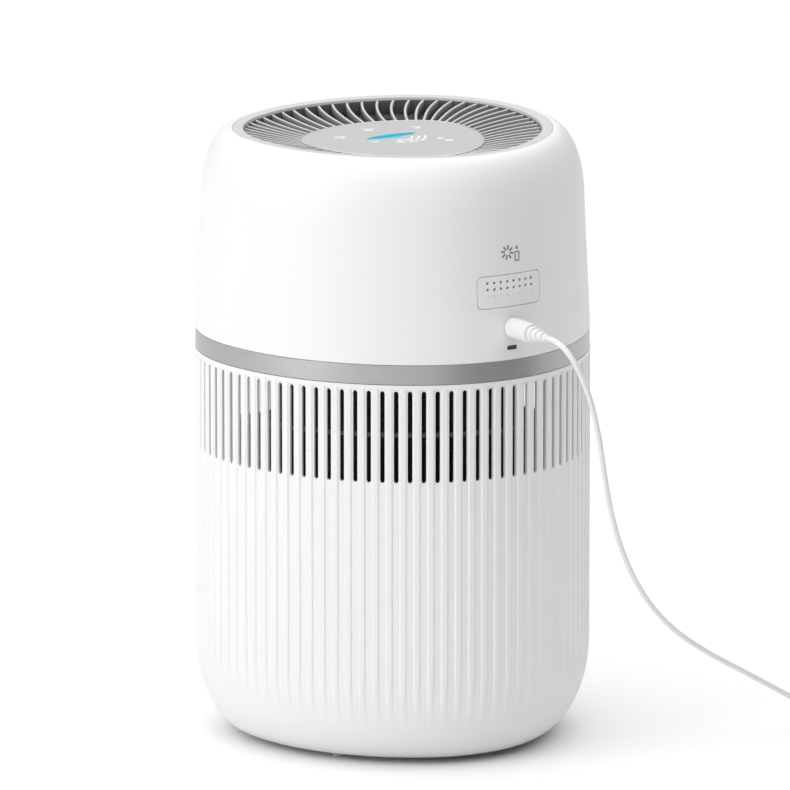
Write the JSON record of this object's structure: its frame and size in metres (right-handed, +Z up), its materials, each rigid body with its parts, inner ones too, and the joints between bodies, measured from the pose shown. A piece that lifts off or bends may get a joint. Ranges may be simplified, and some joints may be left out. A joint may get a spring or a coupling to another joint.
{
  "type": "air purifier",
  "caption": "Tabletop tower air purifier with rounded-triangle body, ring of intake slots, top outlet grille, touch panel, twist-off filter cover, aroma drawer and corded power plug.",
  "frame": {"origin": "middle of the body's bounding box, cord left out, on the surface the feet stand on; the fan and filter axis stands 2.7 mm from it towards -Y", "axes": "+Z up along the fan axis; +Y towards the rear corner with the power inlet and the aroma drawer; the outline is symmetric about the plane x = 0"},
  "size_m": [0.457, 0.2786, 0.327],
  "materials": {
    "white_shell": "fine moulded satin",
    "satin_metal": "satin",
    "panel_grey": "smooth satin",
    "panel_print": "printed",
    "light_lens": "lit, translucent",
    "dark_plastic": "satin",
    "rubber_grey": "matt",
    "foam_black": "open foam",
    "steel": "machined",
    "circuit_board": "solder mask",
    "electronic_parts": "moulded",
    "wire_insulation": "satin",
    "filter_paper": "fibrous paper",
    "carbon": "granular",
    "mesh_black": "woven mesh",
    "aroma_felt": "felt",
    "white_cord": "satin",
    "adapter_white": "satin",
    "tie_black": "satin"
  },
  "bodies": {
    "housing": {"upper_housing": "white_shell", "lower_housing": "white_shell", "trim_band": "satin_metal", "slot_hoop": "dark_plastic", "rubber_feet": "rubber_grey", "outlet_grille": "white_shell", "panel_cup": "dark_plastic", "control_panel": "panel_grey", "panel_trim": "satin_metal", "light_bar": "light_lens", "light_guide": "light_lens", "touch_marks": "panel_print", "touch_board": "circuit_board", "fan_plate": "dark_plastic", "fan_guard": "dark_plastic", "fan_duct": "dark_plastic", "motor_can": "steel", "motor_bearing_lower": "steel", "motor_bearing_upper": "steel", "motor_mount": "dark_plastic", "motor_screws": "steel", "housing_screws": "steel", "main_board": "circuit_board", "board_parts": "electronic_parts", "board_clips": "dark_plastic", "dc_jack": "dark_plastic", "wire_harness": "wire_insulation", "sensor_window": "dark_plastic", "sensor_board": "circuit_board", "aroma_sleeve": "dark_plastic", "push_latch": "dark_plastic", "dc_plug": "white_cord", "plug_barrel": "steel", "power_cord": "white_cord", "cord_coil": "white_cord", "cord_tie": "tie_black", "power_cord_tail": "white_cord", "power_adapter": "adapter_white", "adapter_blades": "steel"},
    "fan_rotor": {"impeller": "dark_plastic", "fan_shaft": "steel", "hub_nut": "steel"},
    "filter_cartridge": {"pleated_filter": "filter_paper", "carbon_core": "carbon", "prefilter_mesh": "mesh_black", "filter_top_cap": "dark_plastic", "filter_bottom_cap": "dark_plastic", "filter_seal": "foam_black"},
    "base_cover": {"base_cover": "white_shell"},
    "aroma_drawer": {"aroma_drawer": "white_shell", "aroma_pad": "aroma_felt"}
  },
  "joints": [
    {"name": "fan_spin", "type": "hinge", "parent": "housing", "child": "fan_rotor", "pos_m": [0, -0.00272, 0.26], "axis": [0, 0, 1], "continuous": true},
    {"name": "filter_drop", "type": "slide", "parent": "housing", "child": "filter_cartridge", "axis": [0, 0, 1], "range_m": [-0.215, 0]},
    {"name": "cover_twist", "type": "hinge", "parent": "filter_cartridge", "child": "base_cover", "pos_m": [0, -0.00272, 0.005], "axis": [0, 0, 1], "range_deg": [0, 24]},
    {"name": "aroma_slide", "type": "slide", "parent": "housing", "child": "aroma_drawer", "axis": [0, 1, 0], "range_m": [-0.0015, 0.022]}
  ]
}
